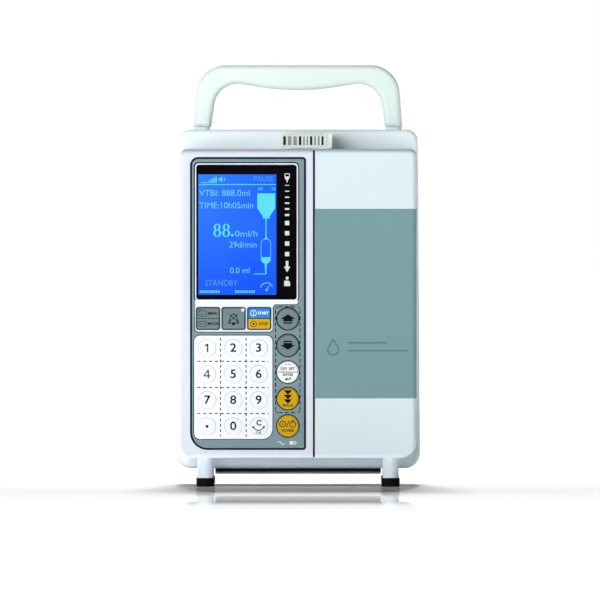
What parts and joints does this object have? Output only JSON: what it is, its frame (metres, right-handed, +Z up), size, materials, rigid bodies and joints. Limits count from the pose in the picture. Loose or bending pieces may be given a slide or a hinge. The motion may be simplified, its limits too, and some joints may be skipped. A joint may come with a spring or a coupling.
{
  "type": "infusion pump",
  "caption": "Portrait infusion pump: hinged front door over a peristaltic pumping track, keypad and screen, carrying handle and rear pole clamp.",
  "frame": {"origin": "centre of the bounding box in X and Y, on the plane the feet stand on", "axes": "+X to the viewer's right, +Y from the keypad face to the pole clamp, +Z up"},
  "size_m": [0.1258, 0.175, 0.2164],
  "materials": {
    "case_plastic": "satin",
    "door_plastic": "satin",
    "handle_plastic": "satin",
    "door_panel_paint": "satin",
    "overlay_film": "fine texture",
    "smoked_window": "gloss",
    "screen": "backlit",
    "circuit_board": "solder mask",
    "key_white": "matt",
    "key_grey": "matt",
    "key_orange": "matt",
    "key_blue": "matt",
    "foot_rubber": "matt",
    "seal_rubber": "matt",
    "silicone": "matt",
    "base_grey": "satin",
    "dark_plastic": "satin",
    "white_plastic": "satin",
    "steel": "brushed",
    "spring_steel": "drawn wire",
    "cast_aluminium": "powder coated",
    "machined_aluminium": "machined",
    "battery_wrap": "film"
  },
  "bodies": {
    "case": {"front_casing": "case_plastic", "rear_casing": "case_plastic", "base_gasket": "seal_rubber", "base_plate": "base_grey", "foot_posts": "case_plastic", "foot_pads": "foot_rubber", "casing_screws": "steel", "handle": "handle_plastic", "handle_collars": "case_plastic", "handle_screws": "steel", "overlay_panel": "overlay_film", "display_window": "smoked_window", "lcd_module": "screen", "keypad_board": "circuit_board", "hinge_leaves": "steel", "pump_frame": "machined_aluminium", "pump_fingers": "white_plastic", "finger_seal": "silicone", "drive_motor": "dark_plastic", "drive_belt": "seal_rubber", "air_sensor": "dark_plastic", "main_board": "circuit_board", "power_supply": "circuit_board", "battery_pack": "battery_wrap", "ac_inlet": "dark_plastic", "sensor_socket": "dark_plastic", "clamp_body": "cast_aluminium", "clamp_bolts": "steel"},
    "door": {"door_shell": "door_plastic", "door_panel": "door_panel_paint", "door_inner_plate": "white_plastic", "hinge_pins": "steel", "platen_springs": "spring_steel"},
    "platen": {"platen": "machined_aluminium"},
    "latch": {"latch_slide": "case_plastic"},
    "jaw": {"clamp_jaw": "cast_aluminium"},
    "screw": {"clamp_screw": "steel", "clamp_knob": "dark_plastic"},
    "cams": {"camshaft": "steel"},
    "motor_shaft": {"motor_pulley": "machined_aluminium"},
    "key_1": {"key_1": "key_white"},
    "key_2": {"key_2": "key_white"},
    "key_3": {"key_3": "key_white"},
    "key_4": {"key_4": "key_white"},
    "key_5": {"key_5": "key_white"},
    "key_6": {"key_6": "key_white"},
    "key_7": {"key_7": "key_white"},
    "key_8": {"key_8": "key_white"},
    "key_9": {"key_9": "key_white"},
    "key_point": {"key_point": "key_white"},
    "key_0": {"key_0": "key_white"},
    "key_clear": {"key_clear": "key_white"},
    "key_up": {"key_up": "key_grey"},
    "key_down": {"key_down": "key_grey"},
    "key_enter": {"key_enter": "key_white"},
    "key_bolus": {"key_bolus": "key_orange"},
    "key_power": {"key_power": "key_orange"},
    "key_menu": {"key_menu": "key_grey"},
    "key_mute": {"key_mute": "key_grey"},
    "key_start_stop": {"key_start_stop": "key_blue"}
  },
  "joints": [
    {"name": "door_hinge", "type": "hinge", "parent": "case", "child": "door", "pos_m": [0.0585, -0.0698, 0.094], "axis": [0, 0, 1], "range_deg": [0, 110]},
    {"name": "latch_slide", "type": "slide", "parent": "case", "child": "latch", "axis": [-1, 0, 0], "range_m": [0, 0.01], "stiffness_N_per_m": 150, "springref_m": -0.002},
    {"name": "clamp_jaw_slide", "type": "slide", "parent": "case", "child": "jaw", "axis": [1, 0, 0], "range_m": [0, 0.02]},
    {"name": "clamp_screw_turn", "type": "hinge", "parent": "jaw", "child": "screw", "pos_m": [-0.0085, 0.058, 0.1], "axis": [1, 0, 0], "range_deg": [0, 1800]},
    {"name": "platen_float", "type": "slide", "parent": "door", "child": "platen", "axis": [0, -1, 0], "range_m": [0, 0.0015], "stiffness_N_per_m": 1500, "springref_m": -0.002, "deforming": ["platen_springs"]},
    {"name": "cam_spin", "type": "hinge", "parent": "case", "child": "cams", "pos_m": [0.034, -0.052, 0.1], "axis": [0, 0, 1], "continuous": true},
    {"name": "motor_spin", "type": "hinge", "parent": "case", "child": "motor_shaft", "pos_m": [0.034, -0.022, 0.137], "axis": [0, 0, 1], "continuous": true},
    {"name": "key_1_press", "type": "slide", "parent": "case", "child": "key_1", "axis": [0, 1, 0], "range_m": [0, 0.0004], "stiffness_N_per_m": 400},
    {"name": "key_2_press", "type": "slide", "parent": "case", "child": "key_2", "axis": [0, 1, 0], "range_m": [0, 0.0004], "stiffness_N_per_m": 400},
    {"name": "key_3_press", "type": "slide", "parent": "case", "child": "key_3", "axis": [0, 1, 0], "range_m": [0, 0.0004], "stiffness_N_per_m": 400},
    {"name": "key_4_press", "type": "slide", "parent": "case", "child": "key_4", "axis": [0, 1, 0], "range_m": [0, 0.0004], "stiffness_N_per_m": 400},
    {"name": "key_5_press", "type": "slide", "parent": "case", "child": "key_5", "axis": [0, 1, 0], "range_m": [0, 0.0004], "stiffness_N_per_m": 400},
    {"name": "key_6_press", "type": "slide", "parent": "case", "child": "key_6", "axis": [0, 1, 0], "range_m": [0, 0.0004], "stiffness_N_per_m": 400},
    {"name": "key_7_press", "type": "slide", "parent": "case", "child": "key_7", "axis": [0, 1, 0], "range_m": [0, 0.0004], "stiffness_N_per_m": 400},
    {"name": "key_8_press", "type": "slide", "parent": "case", "child": "key_8", "axis": [0, 1, 0], "range_m": [0, 0.0004], "stiffness_N_per_m": 400},
    {"name": "key_9_press", "type": "slide", "parent": "case", "child": "key_9", "axis": [0, 1, 0], "range_m": [0, 0.0004], "stiffness_N_per_m": 400},
    {"name": "key_point_press", "type": "slide", "parent": "case", "child": "key_point", "axis": [0, 1, 0], "range_m": [0, 0.0004], "stiffness_N_per_m": 400},
    {"name": "key_0_press", "type": "slide", "parent": "case", "child": "key_0", "axis": [0, 1, 0], "range_m": [0, 0.0004], "stiffness_N_per_m": 400},
    {"name": "key_clear_press", "type": "slide", "parent": "case", "child": "key_clear", "axis": [0, 1, 0], "range_m": [0, 0.0004], "stiffness_N_per_m": 400},
    {"name": "key_up_press", "type": "slide", "parent": "case", "child": "key_up", "axis": [0, 1, 0], "range_m": [0, 0.0004], "stiffness_N_per_m": 400},
    {"name": "key_down_press", "type": "slide", "parent": "case", "child": "key_down", "axis": [0, 1, 0], "range_m": [0, 0.0004], "stiffness_N_per_m": 400},
    {"name": "key_enter_press", "type": "slide", "parent": "case", "child": "key_enter", "axis": [0, 1, 0], "range_m": [0, 0.0004], "stiffness_N_per_m": 400},
    {"name": "key_bolus_press", "type": "slide", "parent": "case", "child": "key_bolus", "axis": [0, 1, 0], "range_m": [0, 0.0004], "stiffness_N_per_m": 400},
    {"name": "key_power_press", "type": "slide", "parent": "case", "child": "key_power", "axis": [0, 1, 0], "range_m": [0, 0.0004], "stiffness_N_per_m": 400},
    {"name": "key_menu_press", "type": "slide", "parent": "case", "child": "key_menu", "axis": [0, 1, 0], "range_m": [0, 0.0004], "stiffness_N_per_m": 400},
    {"name": "key_mute_press", "type": "slide", "parent": "case", "child": "key_mute", "axis": [0, 1, 0], "range_m": [0, 0.0004], "stiffness_N_per_m": 400},
    {"name": "key_start_stop_press", "type": "slide", "parent": "case", "child": "key_start_stop", "axis": [0, 1, 0], "range_m": [0, 0.0004], "stiffness_N_per_m": 400}
  ],
  "couplings": [
    {"joint": "clamp_screw_turn", "follows": "clamp_jaw_slide", "rad_per_m": 1570.8},
    {"joint": "motor_spin", "follows": "cam_spin", "ratio": 2}
  ]
}
